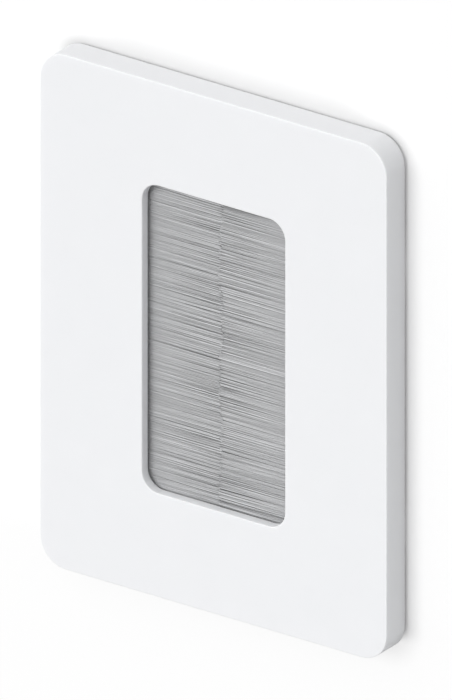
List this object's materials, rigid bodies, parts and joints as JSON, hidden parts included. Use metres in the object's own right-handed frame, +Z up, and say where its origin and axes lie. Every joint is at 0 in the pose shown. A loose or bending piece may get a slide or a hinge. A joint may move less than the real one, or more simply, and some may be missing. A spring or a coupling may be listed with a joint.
{
  "type": "cable pass-through wall plate",
  "caption": "Single-gang wall plate with a rectangular opening closed by facing rows of bristles, so that low-voltage cables can pass through the wall; clip-on cover over a steel strap.",
  "frame": {"origin": "centre of the plate on the face of the wall that it is fixed to", "axes": "+X to the right, +Z up, +Y into the wall, so the plate faces -Y"},
  "size_m": [0.0822, 0.0304, 0.1104],
  "materials": {
    "cover_plastic": "satin",
    "sub_plate_plastic": "matte",
    "zinc_plate": "satin",
    "screw_steel": "satin",
    "bristle_nylon": "satin",
    "washer_fibre": "matte"
  },
  "bodies": {
    "root": {"cover_plate": "cover_plastic", "sub_plate": "sub_plate_plastic", "mounting_strap": "zinc_plate", "left_brush_channel": "zinc_plate", "right_brush_channel": "zinc_plate", "left_core_wire": "screw_steel", "right_core_wire": "screw_steel", "left_bristle_row": "bristle_nylon", "right_bristle_row": "bristle_nylon", "upper_left_brush_screw": "screw_steel", "upper_right_brush_screw": "screw_steel", "lower_left_brush_screw": "screw_steel", "lower_right_brush_screw": "screw_steel", "upper_plate_screw": "screw_steel", "lower_plate_screw": "screw_steel", "upper_box_screw": "screw_steel", "lower_box_screw": "screw_steel", "upper_screw_washer": "washer_fibre", "lower_screw_washer": "washer_fibre"}
  },
  "joints": []
}
